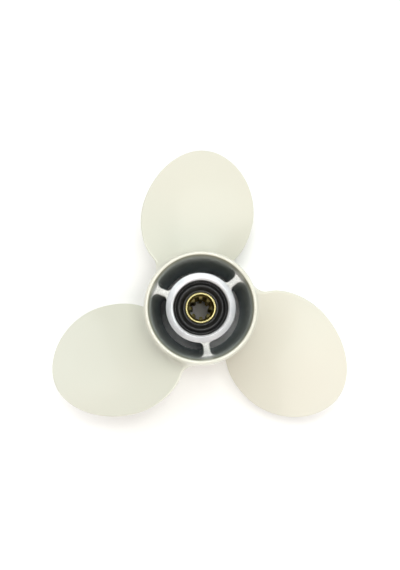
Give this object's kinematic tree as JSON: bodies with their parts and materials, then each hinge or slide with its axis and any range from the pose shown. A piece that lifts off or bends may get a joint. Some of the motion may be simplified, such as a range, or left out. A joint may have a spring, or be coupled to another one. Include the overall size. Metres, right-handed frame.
{
  "type": "outboard motor propeller",
  "caption": "Right-hand bladed propeller for a small outboard motor, with exhaust passages through its hub and a rubber-cushioned splined brass sleeve.",
  "frame": {"origin": "on the shaft axis, in the plane of the hub's front rim, which the propeller lies on", "axes": "+Z along the shaft axis, pointing aft and up as it lies; +Y towards the tip of one blade"},
  "size_m": [0.2115, 0.1959, 0.084],
  "materials": {
    "cream_paint": "gloss",
    "black_rubber": "satin",
    "brass": "satin"
  },
  "bodies": {
    "root": {"propeller_casting": "cream_paint", "rubber_bush": "black_rubber", "splined_sleeve": "brass"}
  },
  "joints": []
}
